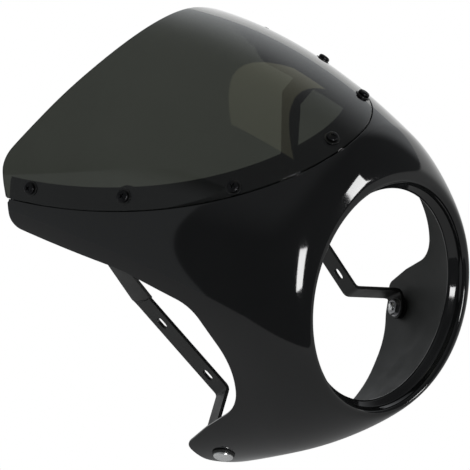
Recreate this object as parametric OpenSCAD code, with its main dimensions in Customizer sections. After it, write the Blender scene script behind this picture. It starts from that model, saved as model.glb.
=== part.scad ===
// Headlight cowl: a gloss shell round a round lamp, with a tinted windscreen screwed over the joggled
// upper flange of the shell, and two folded steel straps that carry it on the fork legs.
// Frame: the origin is on the lamp axis, halfway along the land that holds the lamp rim. The lamp looks
// along -Y and up is +Z. Depths are measured back from the front plane of the lamp opening, and a place or
// an outline "seen from the side" is [depth, height].

/* [Lamp opening] */
// Radius of the land that the lamp rim sits in
lamp_r = 89; // [80:0.5:96]
// Depth of the collar behind the front plane
collar_depth = 15; // [12:0.5:24]
// Radius of the rolled lip round the opening
lip_round = 4; // [3:0.25:5]
// Width of the taper between the lip and the land
lead_in = 6; // [4:0.5:8]
// Depth at which the land begins
land_start = 9; // [7:0.5:11]

/* [Shell] */
// Wall of the shell
wall = 3; // [2:0.25:3.5]
// Depth of the rounded nose at the crown
nose_depth_top = 15; // [11:1:20]
// Depth of the rounded nose at the chin
nose_depth_bottom = 84; // [60:1:100]
// Rise of the nose beyond the lip at the crown
crown_rise = 28; // [24:1:32]
// Rise of the nose 30 degrees from the crown
brow_rise = 26; // [22:1:30]
// Rise of the nose 60 degrees from the crown
shoulder_rise = 16; // [12:1:20]
// Rise of the nose at the side
side_rise = 12; // [8:1:16]
// Rise of the nose 120 degrees from the crown
cheek_rise = 14; // [10:1:18]
// Rise of the nose 150 degrees from the crown
jaw_rise = 14; // [10:1:18]
// Rise of the nose at the chin
chin_rise = 9; // [5:1:13]

/* [Skin 100 mm back] */
// Radius of the skin at the crown, 100 mm behind the front plane
crown_mid = 186; // [181:1:191]
// How much nearer the lamp axis it is 30 degrees from the crown
brow_mid_in = 9; // [5:1:13]
// How much nearer the lamp axis it is 60 degrees from the crown
shoulder_mid_in = 28; // [24:1:32]
// How much nearer the lamp axis it is at the side
side_mid_in = 50; // [46:1:54]
// How much nearer the lamp axis it is 120 degrees from the crown
cheek_mid_in = 33; // [29:1:37]
// How much nearer the lamp axis it is 150 degrees from the crown
jaw_mid_in = 31; // [27:1:35]
// How much nearer the lamp axis it is at the chin
chin_mid_in = 39; // [35:1:43]

/* [Skin 200 mm back] */
// Radius of the skin at the crown, 200 mm behind the front plane
crown_tail = 221; // [216:1:226]
// How much nearer the lamp axis it is 30 degrees from the crown
brow_tail_in = 13; // [9:1:17]
// How much nearer the lamp axis it is 60 degrees from the crown
shoulder_tail_in = 40; // [36:1:44]
// How much nearer the lamp axis it is at the side
side_tail_in = 95; // [91:1:99]
// How much nearer the lamp axis it is 120 degrees from the crown
cheek_tail_in = 43; // [39:1:47]
// How much nearer the lamp axis it is 150 degrees from the crown
jaw_tail_in = 34; // [30:1:38]
// How much nearer the lamp axis it is at the chin
chin_tail_in = 34; // [30:1:38]

/* [Seam and flange] */
// Height of the seam at its lowest point
seam_z = 128; // [124:1:132]
// Rise of the seam towards the crown
seam_rise_front = 10; // [6:1:14]
// Rise of the seam towards its rear end
seam_rise_back = 6; // [3:1:10]
// Where the seam ends at the front, behind the front plane
seam_front_y = 12; // [8:1:20]
// Where the seam ends at the back
seam_back_y = 252; // [247:1:257]
// Height of the joggled flange above the seam
flange_lift = 17; // [14:1:20]
// Gap between windscreen and shell
fit_gap = 0.3; // [0.2:0.05:0.5]
// Open line left along the seam
seam_gap = 0.6; // [0.4:0.1:1.2]

/* [Windscreen] */
// Thickness of the windscreen
screen_t = 3; // [2:0.25:3.5]
// Top edge of the windscreen on the centre line, seen from the side
screen_top = [208, 227]; // [200:1:235]
// Where the top edge turns steeper
screen_brow = [238, 199.5]; // [195:0.5:242]
// Radius of the windscreen's top edge between its corners
screen_brow_r = 204; // [190:2:220]
// Rearmost corner of the windscreen
screen_back = [267, 163]; // [160:1:272]
// Lower end of the windscreen's rear edge
screen_tail = [255, 133]; // [130:1:258]
// Rounding of the rearmost corner
screen_back_r = 15; // [8:1:22]

/* [Shell outline seen from the side] */
// Corner at the back of the shell
tail_corner = [253, 114]; // [110:1:258]
// Rounding of that corner
tail_corner_r = 15; // [8:1:20]
// Kink of the lower rear edge
tail_bend = [150, 83.5]; // [78:0.5:156]
// Start of the fork cut-out
cutout_top = [90, 52.5]; // [46:0.5:96]
// Front of the fork cut-out
cutout_front = [65, -3]; // [-8:1:70]
// Lower turn of the fork cut-out
cutout_low = [71, -45]; // [-50:1:76]
// Neck of the ear
ear_neck = [112, -71.5]; // [-76:0.5:117]
// Upper corner of the ear
ear_top = [140, -94]; // [-98:1:144]
// Lower corner of the ear
ear_low = [138.5, -115]; // [-119:0.5:143]
// Turn from the ear into the chin
chin_bend = [121, -139]; // [-143:1:125]
// Depth of the chin's rear edge on the centre line
chin_y = 108; // [104:1:112]

/* [Windscreen screws] */
// Distance of each screw behind the front plane, from the centre screw to the rear pair
screw_y = [26, 63.5, 146, 233]; // [20:0.5:240]
// Height of each screw above the seam
screw_lift = [9, 6, 10.5, 11.5]; // [5:0.5:13]
// Shank radius of the screws
screw_r = 2.5; // [2:0.25:3]
// Clearance round a shank in its hole
hole_gap = 0.4; // [0.2:0.05:0.6]
// Head radius of the screws
screw_head_r = 5; // [4:0.25:6]
// Head height of the screws
screw_head_h = 3.2; // [2.5:0.1:4]
// Radius of the nylon washers
screw_washer_r = 6.4; // [5.5:0.1:7.5]
// Thickness of the nylon washers
screw_washer_t = 1; // [0.6:0.1:1.5]
// Width across the flats of the nuts
screw_nut_af = 8; // [7:0.5:9]
// Height of the nuts
screw_nut_h = 4; // [3:0.25:5]
// Thread standing out of the nuts
thread_out = 1.5; // [0.5:0.25:3]

/* [Ear bolts] */
// Place of the ear bolt, seen from the side
ear_bolt = [115, -107]; // [-111:1:119]
// Shank radius of the ear bolts
bolt_r = 4; // [3:0.25:5]
// Radius of the domed head
bolt_head_r = 8.5; // [7:0.25:9.5]
// Height of the domed head
bolt_head_h = 4; // [3:0.25:5]
// Radius of the rubber grommet's flanges
grommet_r = 9.75; // [9:0.25:11]
// Radius of the grommet's neck, which passes through the shell
grommet_neck_r = 6.5; // [6:0.25:7]
// Thickness of the grommet's outer flange
grommet_out = 1.5; // [1:0.25:2.5]
// Thickness of the grommet's inner flange
grommet_in = 2.5; // [2:0.25:4]
// Thickness of the flat washer
bolt_washer_t = 1.2; // [0.8:0.1:1.6]
// Width across the flats of the bolt's nut
bolt_nut_af = 13; // [12:0.5:14]
// Height of the bolt's nut
bolt_nut_h = 4; // [3.5:0.25:6]

/* [Straps] */
// Width of the strap
strap_w = 20; // [16:0.5:22]
// Thickness of the strap
strap_t = 3; // [2:0.25:3.5]
// Lean of the strap back from upright, degrees
strap_lean = 36; // [32:1:40]
// Fold of the strap inside the ear
strap_knee = [126, 124, -96]; // [-100:1:130]
// Fold at the foot of the long run
strap_foot = [87, 138, -72]; // [-76:1:142]
// Top of the long run
strap_bend = [96, 198, 12]; // [8:1:202]
// Turn of the strap up to the flange
strap_rise = [128, 196, 95]; // [91:1:200]
// Inside radius of the folds
strap_fold_r = 4; // [2:0.5:8]
// Distance of each slot from the foot of the run
slot_at = [19, 78]; // [15:1:85]
// Length of the slots
slot_l = 11; // [9:0.5:14]
// Width of the slots
slot_w = 6.5; // [5:0.5:8]

/* [Hidden] */

// The skin is drawn by seven guides, one each 30 degrees round the lamp axis from the crown to the chin.
guide_count = 7;
guide_step = 30;
mid_y = 100;
crest_r = lamp_r + lead_in + lip_round;
land_y = land_start;
seat_y = (land_y + collar_depth) / 2;
funnel_turn = atan(lead_in / (land_y - lip_round));
rises = [crown_rise, brow_rise, shoulder_rise, side_rise, cheek_rise, jaw_rise, chin_rise];
mids = [for (v = [0, brow_mid_in, shoulder_mid_in, side_mid_in, cheek_mid_in, jaw_mid_in, chin_mid_in])
    crown_mid - v];
tails = [for (v = [0, brow_tail_in, shoulder_tail_in, side_tail_in, cheek_tail_in, jaw_tail_in, chin_tail_in])
    crown_tail - v];

// Weights of the cosine series that passes through the seven guides.
function end_half(i) = i == 0 || i == guide_count - 1 ? 0.5 : 1;
function series(v) = [for (k = [0 : guide_count - 1])
    2 * end_half(k) / (guide_count - 1)
    * (v * [for (j = [0 : guide_count - 1]) end_half(j) * cos(guide_step * j * k)])];
function blend(c, a) = c * [for (k = [0 : guide_count - 1]) cos(k * a)];
rise_c = series(rises);
mid_c = series(mids);
tail_c = series(tails);

// Radius of the skin at an angle from the crown and a distance behind the front plane: an elliptic nose
// with a wall behind it that flares and bows through the radii at 100 and 200 mm.
function nose_depth(a) = nose_depth_top + (nose_depth_bottom - nose_depth_top) * abs(a) / 180;
function skin_r(a, y) = let(
    rise = blend(rise_c, a),
    mid = blend(mid_c, a),
    tail = blend(tail_c, a),
    base = crest_r + rise,
    bow = (tail - 2 * mid + base) / 2,
    flare = mid - base - bow,
    s = min(y / nose_depth(a), 1),
    u = y / mid_y
) crest_r + rise * sqrt(max(0, 1 - (1 - s) * (1 - s))) + flare * u + bow * u * u;
function skin_p(a, y) = let(r = skin_r(a, y)) [r * sin(a), y, r * cos(a)];

// Outward normal of the skin.
angle_step = 0.1;
depth_step = 0.01;
function unit(v) = v / norm(v);
function skin_n(a, y) = let(
    yy = max(y, 2 * depth_step),
    round_it = skin_p(a + angle_step, yy) - skin_p(a - angle_step, yy),
    along_it = skin_p(a, yy + depth_step) - skin_p(a, yy - depth_step)
) unit(cross(round_it, along_it));
function skin_at(a, y, off) = skin_p(a, y) + off * skin_n(a, y);

// The seam and the flange edge are arcs seen from the side.
seam_half = (seam_back_y - seam_front_y) / 2;
seam_mid_y = (seam_back_y + seam_front_y) / 2;
function seam_at(y, lift) = seam_z + lift
    + (y < seam_mid_y ? seam_rise_front : seam_rise_back) * pow((y - seam_mid_y) / seam_half, 2);

// Angle at which the skin has a height z at a depth y.
function angle_at(y, z, lo = 0, hi = 180, n = 26) =
    n == 0 ? (lo + hi) / 2
    : let(a = (lo + hi) / 2) skin_r(a, y) * cos(a) > z
        ? angle_at(y, z, a, hi, n - 1)
        : angle_at(y, z, lo, a, n - 1);
// Depth at which the skin crosses the seam, raised by a lift, at an angle.
function seam_y(a, lift, top, lo = 0, hi = undef, n = 26) =
    let(h = is_undef(hi) ? top : hi)
    n == 0 ? (lo + h) / 2
    : let(y = (lo + h) / 2) skin_r(a, y) * cos(a) > seam_at(y, lift)
        ? seam_y(a, lift, top, lo, y, n - 1)
        : seam_y(a, lift, top, y, h, n - 1);

// A path with rounded corners: [point, radius] at each corner, sampled every few millimetres.
function turn(p, q, r, steps) = let(
    a = unit(p[0] - q[0]),
    b = unit(p[1] - q[0]),
    half = acos(a * b) / 2,
    reach = min(r / tan(half), 0.48 * norm(p[0] - q[0]), 0.48 * norm(p[1] - q[0])),
    rr = reach * tan(half),
    centre = q[0] + unit(a + b) * rr / sin(half),
    start = q[0] + a * reach - centre,
    finish = q[0] + b * reach - centre,
    from = atan2(start[1], start[0]),
    sweep = (atan2(finish[1], finish[0]) - from + 540) % 360 - 180
) [for (k = [0 : steps]) centre + rr * [cos(from + sweep * k / steps), sin(from + sweep * k / steps)]];
function rounded(corners, radii, steps) = [for (i = [0 : len(corners) - 1])
    each (i == 0 || i == len(corners) - 1) ? [corners[i]]
        : turn([corners[i - 1], corners[i + 1]], [corners[i]], radii[i], steps[i])];
function spaced(path, gap) = [for (i = [0 : len(path) - 1])
    each i == len(path) - 1 ? [path[i]]
        : let(n = ceil(norm(path[i + 1] - path[i]) / gap))
          [for (k = [0 : n - 1]) path[i] + (path[i + 1] - path[i]) * k / n]];

// Columns of the shell: [angle, depth of the edge], from the crown to the chin.
column_gap = 21;
tail_top = [seam_back_y + 2, seam_at(seam_back_y + 2, flange_lift)];
flange_turn_a = 30;
flange_turn_y = seam_y(flange_turn_a, flange_lift, seam_back_y);
crown_columns = [for (a = [0 : 6 : flange_turn_a - 1]) [a, seam_y(a, flange_lift, seam_back_y)]];
flange_steps = 9;
flange_edge = [for (k = [0 : flange_steps - 2])
    let(y = flange_turn_y + (tail_top[0] - flange_turn_y) * k / flange_steps) [y, seam_at(y, flange_lift)]];
joggle_end = [seam_back_y + 1, seam_at(seam_back_y + 1, 0.6)];
tail_low = [seam_back_y + 1, seam_at(seam_back_y + 1, -0.6)];
rear_steps = 6;
rear_edge = [for (k = [0 : rear_steps]) tail_top + (joggle_end - tail_top) * k / rear_steps];
lower_edge = spaced(rounded(
    [tail_low, tail_corner, tail_bend, cutout_top, cutout_front, cutout_low, ear_neck, ear_top, ear_low, chin_bend,
     [chin_y + 3, chin_bend[1] - 7]],
    [0, tail_corner_r, 114, 38, 84, 45, 40, 13, 14, 20, 0],
    [0, 4, 2, 2, 3, 3, 1, 3, 3, 2, 0]), column_gap);
side_columns = [for (p = concat(flange_edge, rear_edge, lower_edge)) [angle_at(p[0], p[1]), p[0]]];
last_a = side_columns[len(side_columns) - 1][0];
last_y = side_columns[len(side_columns) - 1][1];
chin_steps = 5;
chin_columns = [for (k = [1 : chin_steps])
    [last_a + (180 - last_a) * k / chin_steps, chin_y + (last_y - chin_y) * pow(1 - k / chin_steps, 2)]];
half_columns = concat(crown_columns, side_columns, chin_columns);

// One closed loop of points for a column of the shell: out over the skin and back along its inside.
nose_rows = 6;
wall_rows = 4;
joggle = screen_t + fit_gap;
least_tail = 6;
round_in = 0.5;
function row_y(a, end, k) = let(nose = min(nose_depth(a), 0.8 * end))
    k <= nose_rows ? nose * (1 - cos(90 * k / nose_rows)) : nose + (end - nose) * (k - nose_rows) / wall_rows;
function shell_loop(a, end) = let(
    seamed = skin_r(a, end) * cos(a) > seam_at(end, 0),
    turn_y = seamed ? min(seam_y(a, 0, end), end - 0.4) : end - least_tail,
    drop = seamed ? joggle : 0,
    step_y = turn_y + (seamed ? 0 : 1),
    out = [sin(a), 0, cos(a)],
    back = [0, 1, 0]
) concat(
    [out * (lamp_r - round_in) + back * collar_depth,
     out * (lamp_r - round_in) + back * (land_y + (land_y - lip_round) * round_in / lead_in),
     out * (crest_r - lip_round) + back * lip_round,
     out * (crest_r - lip_round * cos(45)) + back * lip_round * (1 - sin(45))],
    [for (k = [0 : nose_rows + wall_rows]) skin_at(a, row_y(a, turn_y, k), 0)],
    [for (y = [step_y, (step_y + end) / 2, end]) skin_at(a, y, -drop)],
    [for (y = [end, (step_y + end) / 2, step_y]) skin_at(a, y, -drop - wall)],
    [for (k = [nose_rows + wall_rows - 2 : -2 : 2]) skin_at(a, row_y(a, turn_y, k), -wall)],
    [out * (crest_r - lip_round + wall * cos(funnel_turn)) + back * (lip_round + wall * sin(funnel_turn)),
     out * (lamp_r + wall) + back * (land_y + wall * tan(funnel_turn / 2)),
     out * (lamp_r + wall) + back * collar_depth]
);
function mirrored(loop) = [for (p = loop) [-p[0], p[1], p[2]]];

// Columns of the windscreen: [foot, top], each an [angle, depth], from the crown to the rear corner.
screen_columns = 26;
screen_rows = 9;
corner_left = 2.4;
function path_length(path, i = 0) =
    i > len(path) - 2 ? 0 : norm(path[i + 1] - path[i]) + path_length(path, i + 1);
function walk(path, d, i = 0) = let(step = norm(path[i + 1] - path[i]))
    d <= step || i == len(path) - 2 ? path[i] + (path[i + 1] - path[i]) * min(1, d / step)
        : walk(path, d - step, i + 1);
screen_edge = spaced(rounded([screen_top, screen_brow, screen_back, screen_tail], [0, screen_brow_r, screen_back_r, 0],
    [0, 4, 6, 0]), 4);
edge_start = [for (p = screen_edge) if (skin_r(0, p[0]) > p[1] && p[1] > seam_at(p[0], corner_left)) p];
edge_top_y = let(
    q = edge_start[0],
    slope = (screen_top[1] - screen_brow[1]) / (screen_brow[0] - screen_top[0]),
    over = skin_r(0, q[0]) - q[1]
) q[0] - over / (slope + (skin_r(0, q[0]) - skin_r(0, q[0] - 1)));
top_path = concat([[edge_top_y, skin_r(0, edge_top_y)]], edge_start);
top_length = path_length(top_path);
foot_y = seam_y(0, seam_gap, seam_back_y);
function spread(t) = pow(t, 1.6);
screen_foot_back = seam_back_y + 2;
function foot_at(t) = let(y = foot_y + (screen_foot_back - foot_y) * spread(t)) [angle_at(y, seam_at(y, seam_gap)), y];
function top_at(t) = let(p = walk(top_path, top_length * spread(t))) [angle_at(p[0], p[1]), p[0]];
function screen_loop(foot, top) = concat(
    [for (k = [0 : screen_rows]) let(q = foot + (top - foot) * k / screen_rows) skin_at(q[0], q[1], 0)],
    [for (k = [screen_rows : -1 : 0]) let(q = foot + (top - foot) * k / screen_rows)
        skin_at(q[0], q[1], -screen_t)]);

// Faces between neighbouring loops of points, closed on themselves or with flat ends.
function wrap(rings, size, closed) = [for (i = [0 : rings - (closed ? 1 : 2)], j = [0 : size - 1])
    let(a = i * size + j, b = i * size + (j + 1) % size,
        c = ((i + 1) % rings) * size + (j + 1) % size, d = ((i + 1) % rings) * size + j)
    each [[a, b, c], [a, c, d]]];
function cap(first, size, flip) = [for (j = [0 : size / 2 - 2])
    let(a = first + j, b = first + j + 1, c = first + size - 2 - j, d = first + size - 1 - j)
    each flip ? [[a, c, b], [a, d, c]] : [[a, b, c], [a, c, d]]];

module shell_skin() {
    right_half = [for (c = half_columns) shell_loop(c[0], c[1])];
    last = len(right_half) - 1;
    loops = concat(right_half, [for (i = [last - 1 : -1 : 1]) mirrored(right_half[i])]);
    polyhedron([for (l = loops) each l], wrap(len(loops), len(loops[0]), true), convexity = 8);
}

module screen_skin() {
    half = [for (k = [0 : screen_columns]) let(t = k / screen_columns) screen_loop(foot_at(t), top_at(t))];
    loops = concat([for (k = [screen_columns : -1 : 1]) mirrored(half[k])], half);
    size = len(loops[0]);
    polyhedron([for (l = loops) each l],
        concat(wrap(len(loops), size, false), cap(0, size, true), cap((len(loops) - 1) * size, size, false)),
        convexity = 6);
}

// Stands its children at a point, with Z along one direction and X as near as can be to another.
module stand(p, n, u = [1, 0, 0]) {
    tilt = acos(n[2]);
    turn_z = atan2(n[1], n[0]);
    x_axis = [cos(tilt) * cos(turn_z), cos(tilt) * sin(turn_z), -sin(tilt)];
    y_axis = [-sin(turn_z), cos(turn_z), 0];
    translate(p) rotate([0, tilt, turn_z]) rotate([0, 0, atan2(u * y_axis, u * x_axis)]) children();
}
module both_sides() {
    children();
    mirror([1, 0, 0]) children();
}
module in_frame() {
    translate([0, -seat_y, 0]) children();
}

// Fasteners stand on the skin with Z outward and zero on the skin.
screw_count = len(screw_y);
rear_screw = screw_count - 1;
strap_screw = rear_screw - 1;
screw_a = [for (i = [0 : rear_screw]) i == 0 ? 0 : angle_at(screw_y[i], seam_at(screw_y[i], screw_lift[i]))];
spotface = 0.3;
under_flange = joggle + wall - 0.15;
module at_screw(i) {
    stand(skin_p(screw_a[i], screw_y[i]), skin_n(screw_a[i], screw_y[i])) children();
}
module at_screws() {
    at_screw(0) children();
    both_sides() for (i = [1 : rear_screw]) at_screw(i) children();
}
function nut_seat(i) = -under_flange - (i == strap_screw ? strap_t : 0);

ear_a = angle_at(ear_bolt[0], ear_bolt[1]);
ear_p = skin_p(ear_a, ear_bolt[0]);
ear_n = skin_n(ear_a, ear_bolt[0]);
ear_face = -0.4;
ear_back = -wall + 0.2;
ear_tab_top = ear_back - grommet_in;
ear_washer_top = ear_tab_top - strap_t;
ear_nut_top = ear_washer_top - bolt_washer_t;
bolt_end = ear_nut_top - bolt_nut_h - thread_out;
module at_ears() {
    both_sides() stand(ear_p, ear_n) children();
}

module tube(outer, inner, low, high, n = 32) {
    translate([0, 0, low]) difference() {
        cylinder(r = outer, h = high - low, $fn = n);
        translate([0, 0, -1]) cylinder(r = inner, h = high - low + 2, $fn = n);
    }
}
module hex_nut(across_flats, bore, low, high) {
    translate([0, 0, low]) difference() {
        cylinder(r = across_flats / 2 / cos(30), h = high - low, $fn = 6);
        translate([0, 0, -1]) cylinder(r = bore, h = high - low + 2, $fn = 24);
    }
}

module fairing_body() {
    color([0.06, 0.06, 0.065]) in_frame() difference() {
        shell_skin();
        union() {
            rotate([90, 0, 0]) cylinder(r = lamp_r, h = 4 * collar_depth, center = true, $fn = 120);
            at_screws() translate([0, 0, -20]) cylinder(r = screw_r + hole_gap, h = 30, $fn = 24);
            at_screws() translate([0, 0, -20]) cylinder(r = screw_nut_af * 0.7, h = 20 - under_flange, $fn = 24);
            both_sides() stand(top_screw_p, top_n, top_tab_u) translate([-strap_w / 2 - 7, -strap_w / 2 - 1, -20])
                cube([strap_w + 8, strap_w + 2, 20 - under_flange]);
            at_ears() {
                translate([0, 0, -20]) cylinder(r = grommet_neck_r, h = 40, $fn = 32);
                translate([0, 0, ear_face]) cylinder(r = grommet_r + 0.3, h = 10, $fn = 48);
                translate([0, 0, ear_back - 10]) cylinder(r = grommet_r + 0.3, h = 10, $fn = 48);
            }
        }
    }
}

module windscreen() {
    color([0.16, 0.18, 0.16, 0.75]) in_frame() difference() {
        screen_skin();
        at_screws() translate([0, 0, -10]) cylinder(r = screw_r + hole_gap, h = 20, $fn = 24);
        at_screws() translate([0, 0, -spotface]) cylinder(r = screw_washer_r + 0.2, h = 10, $fn = 32);
    }
}

// Domed cross-slotted head on a shank that ends beyond its nut.
screw_low = -spotface + screw_washer_t;
module screw(end) {
    difference() {
        union() {
            intersection() {
                translate([0, 0, screw_low]) cylinder(r = screw_head_r, h = screw_head_h, $fn = 32);
                translate([0, 0, screw_low + screw_head_h - dome(screw_head_r, screw_head_h)])
                    sphere(r = dome(screw_head_r, screw_head_h), $fn = 48);
            }
            translate([0, 0, end]) cylinder(r = screw_r, h = screw_low - end + 0.5, $fn = 24);
        }
        for (turn_z = [0, 90]) rotate([0, 0, turn_z])
            translate([-screw_head_r * 0.55, -0.6, screw_low + screw_head_h - 1.6])
                cube([screw_head_r * 1.1, 1.2, 5]);
    }
}
// Radius of the ball whose cap has the head's height over most of its radius.
function dome(r, h) = (r * r + h * h * 0.49) / (2 * h * 0.7);

module screen_screws() {
    color([0.09, 0.09, 0.095]) in_frame() {
        at_screw(0) screw(nut_seat(0) - screw_nut_h - thread_out);
        both_sides() for (i = [1 : rear_screw]) at_screw(i) screw(nut_seat(i) - screw_nut_h - thread_out);
    }
}
module screen_washers() {
    color([0.12, 0.12, 0.12]) in_frame()
        at_screws() tube(screw_washer_r, screw_r + 0.2, -spotface, -spotface + screw_washer_t);
}
module screen_nuts() {
    color([0.55, 0.55, 0.56]) in_frame() {
        at_screw(0) hex_nut(screw_nut_af, screw_r + 0.05, nut_seat(0) - screw_nut_h, nut_seat(0));
        both_sides() for (i = [1 : rear_screw]) at_screw(i)
            hex_nut(screw_nut_af, screw_r + 0.05, nut_seat(i) - screw_nut_h, nut_seat(i));
    }
}

module ear_grommets() {
    neck = ear_face - ear_back;
    color([0.03, 0.03, 0.03]) in_frame() at_ears() {
        difference() {
            union() {
                translate([0, 0, ear_face]) cylinder(r = grommet_r, h = grommet_out, $fn = 48);
                translate([0, 0, ear_back - 0.5]) cylinder(r = grommet_neck_r - 0.1, h = neck + 1, $fn = 32);
                translate([0, 0, ear_tab_top]) cylinder(r = grommet_r, h = grommet_in, $fn = 48);
            }
            translate([0, 0, ear_tab_top - 1]) cylinder(r = bolt_r + 0.1, h = 20, $fn = 32);
        }
    }
}
module ear_bolts() {
    low = ear_face + grommet_out;
    ball = dome(bolt_head_r, bolt_head_h);
    color([0.72, 0.72, 0.73]) in_frame() at_ears() {
        intersection() {
            translate([0, 0, low]) cylinder(r = bolt_head_r, h = bolt_head_h, $fn = 48);
            translate([0, 0, low + bolt_head_h - ball]) sphere(r = ball, $fn = 64);
        }
        translate([0, 0, bolt_end]) cylinder(r = bolt_r, h = low - bolt_end + 0.5, $fn = 32);
    }
}
module ear_washers() {
    color([0.6, 0.6, 0.62]) in_frame()
        at_ears() tube(bolt_head_r, bolt_r + 0.15, ear_nut_top, ear_washer_top);
}
module ear_nuts() {
    color([0.6, 0.6, 0.62]) in_frame()
        at_ears() hex_nut(bolt_nut_af, bolt_r + 0.05, ear_nut_top - bolt_nut_h, ear_nut_top);
}

// The strap runs from its tab behind the ear to its tab under the middle windscreen screw of its side. Each station has a
// point on the middle plane, half of the width and half of the thickness, both as vectors.
function flat_part(v, n) = v - (v * n) * n;
run_w = [0, -cos(strap_lean), sin(strap_lean)];
run_u = unit(strap_bend - strap_foot);
leg_n = unit(cross(strap_foot - strap_knee, run_w));
ear_tab_p = ear_p + (ear_tab_top - strap_t / 2) * ear_n;
ear_tab_u = unit(flat_part(strap_knee - ear_tab_p, ear_n));
ear_tab_w = cross(ear_n, ear_tab_u);
ear_knee = ear_tab_p + ear_tab_u * (bolt_head_r + strap_fold_r + 2.5);
knee_w = unit(cross(ear_n, leg_n));
top_screw_p = skin_p(screw_a[strap_screw], screw_y[strap_screw]);
top_n = skin_n(screw_a[strap_screw], screw_y[strap_screw]);
top_tab_p = top_screw_p + (-under_flange - strap_t / 2) * top_n;
top_tab_u = unit(flat_part(top_tab_p - strap_rise, top_n));
top_tab_w = cross(top_n, top_tab_u);
strap_points = [ear_tab_p, ear_knee, strap_foot, strap_bend, strap_rise,
    top_tab_p - top_tab_u * (strap_w / 2 + 1), top_tab_p];
strap_widths = [ear_tab_w, knee_w, run_w, run_w, run_w + top_tab_w / 2, top_tab_w, top_tab_w];
fold_steps = 3;
end_turns = [80, 55, 28, 0];
function fold(i, k) = let(
    p = strap_points,
    a = unit(p[i - 1] - p[i]),
    b = unit(p[i + 1] - p[i]),
    reach = min((strap_fold_r + strap_t / 2) / tan(acos(a * b) / 2), 0.45 * norm(p[i - 1] - p[i])),
    t = k / fold_steps,
    along = unit(t * b - (1 - t) * a),
    w = i == 1 ? knee_w : unit(flat_part(strap_widths[i], along)),
    n = i == 1 ? unit((1 - t) * ear_n + t * leg_n) : cross(along, w)
) [p[i] + (1 - t) * (1 - t) * reach * a + t * t * reach * b, w * strap_w / 2, n * strap_t / 2];
function round_end(p, out, w, n, turn_by) =
    [p + out * sin(turn_by) * strap_w / 2, w * cos(turn_by) * strap_w / 2, n * strap_t / 2];
strap_stations = concat(
    [for (t = end_turns) round_end(ear_tab_p, -ear_tab_u, ear_tab_w, ear_n, t)],
    [for (i = [1 : len(strap_points) - 2], k = [0 : fold_steps]) fold(i, k)],
    [for (k = [len(end_turns) - 1 : -1 : 0]) round_end(top_tab_p, top_tab_u, top_tab_w, top_n, end_turns[k])]);
function strap_loop(s) = [s[0] + s[1] + s[2], s[0] + s[1] - s[2], s[0] - s[1] - s[2], s[0] - s[1] + s[2]];

module strap() {
    loops = [for (s = strap_stations) strap_loop(s)];
    run_n = unit(cross(run_u, run_w));
    difference() {
        polyhedron([for (l = loops) each l],
            concat(wrap(len(loops), 4, false), cap(0, 4, true), cap((len(loops) - 1) * 4, 4, false)));
        stand(ear_tab_p, ear_n) cylinder(r = bolt_r + hole_gap, h = 4 * strap_t, center = true, $fn = 32);
        stand(top_tab_p, top_n) cylinder(r = screw_r + hole_gap, h = 4 * strap_t, center = true, $fn = 24);
        for (d = slot_at) stand(strap_foot + d * run_u, run_n, run_u) for (s = [-1, 1]) {
            translate([s * (slot_l - slot_w) / 2, 0, 0]) cylinder(r = slot_w / 2, h = 20, center = true, $fn = 24);
            cube([slot_l - slot_w, slot_w, 20], center = true);
        }
    }
}
module strap_left() {
    color([0.1, 0.1, 0.1]) in_frame() strap();
}
module strap_right() {
    color([0.1, 0.1, 0.1]) in_frame() mirror([1, 0, 0]) strap();
}

fairing_body();
windscreen();
screen_screws();
screen_washers();
screen_nuts();
strap_right();
strap_left();
ear_grommets();
ear_bolts();
ear_washers();
ear_nuts();
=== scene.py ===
"""Headlight cowl: gloss shell, smoked windscreen, steel straps and fasteners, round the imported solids.

Shapes are worked out in millimetres, with depths measured back from the front plane of the lamp opening, and
become metres in the row frame, whose origin lies SEAT_Y behind that plane.
"""

import math

import bmesh
import bpy
import numpy as np
from mathutils import Matrix, Quaternion, Vector


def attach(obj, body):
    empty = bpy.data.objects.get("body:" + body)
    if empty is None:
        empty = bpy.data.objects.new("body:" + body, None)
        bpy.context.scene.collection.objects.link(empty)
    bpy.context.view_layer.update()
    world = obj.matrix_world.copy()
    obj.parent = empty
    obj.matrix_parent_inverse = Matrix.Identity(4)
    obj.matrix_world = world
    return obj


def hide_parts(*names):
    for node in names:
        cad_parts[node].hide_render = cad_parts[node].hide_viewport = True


MM = 0.001
SEAT_Y = 12.0

# Lamp opening, mm
LAMP_R = 89.0
LEAD_IN = 6.0
LIP_ROUND = 4.0
COLLAR_DEPTH = 15.0
CREST_R = LAMP_R + LEAD_IN + LIP_ROUND

# Section of the opening, as (out from the land, forward from the back of the collar), mm
FUNNEL = ((1.0, 0.0), (0.3, 0.3), (0.0, 1.0), (0.0, 1.8), (0.4, 2.6), (1.2, 3.6), (4.4, 6.4), (5.3, 7.5),
          (5.8, 9.0))
COLLAR = ((8.8, 8.5), (8.2, 5.6), (6.5, 4.1), (3.3, 1.4), (2.9, 0.6), (2.3, 0.1), (1.6, 0.0))

# Seven guides of the skin, each 30 degrees round the lamp axis from the crown to the chin, mm
GUIDE_STEP = 30
NOSE_RISE = (28, 26, 16, 12, 14, 14, 9)
R_AT_100 = (186, 177, 158, 136.8, 153.5, 155.5, 148)
R_AT_200 = (221, 208, 181, 126, 178, 187, 187)
NOSE_TOP = 15.0
NOSE_BOTTOM = 84.0
WALL = 3.0

# Seam, flange and windscreen, mm
SEAM_Z = 128.0
SEAM_FRONT = 12.0
SEAM_BACK = 252.0
SEAM_RISE_FRONT = 10.0
SEAM_RISE_BACK = 6.0
TAIL_Y = 257.0
FLANGE_LIFT = 17.0
FIT_GAP = 0.3
SEAM_GAP = 0.6
SCREEN_T = 3.0
JOGGLE = SCREEN_T + FIT_GAP
SCREEN_EDGE = [(208, 227), (238, 199.5), (269, 163), (257.5, 133)]
SCREEN_EDGE_R = [0, 204, 15, 0]

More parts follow.
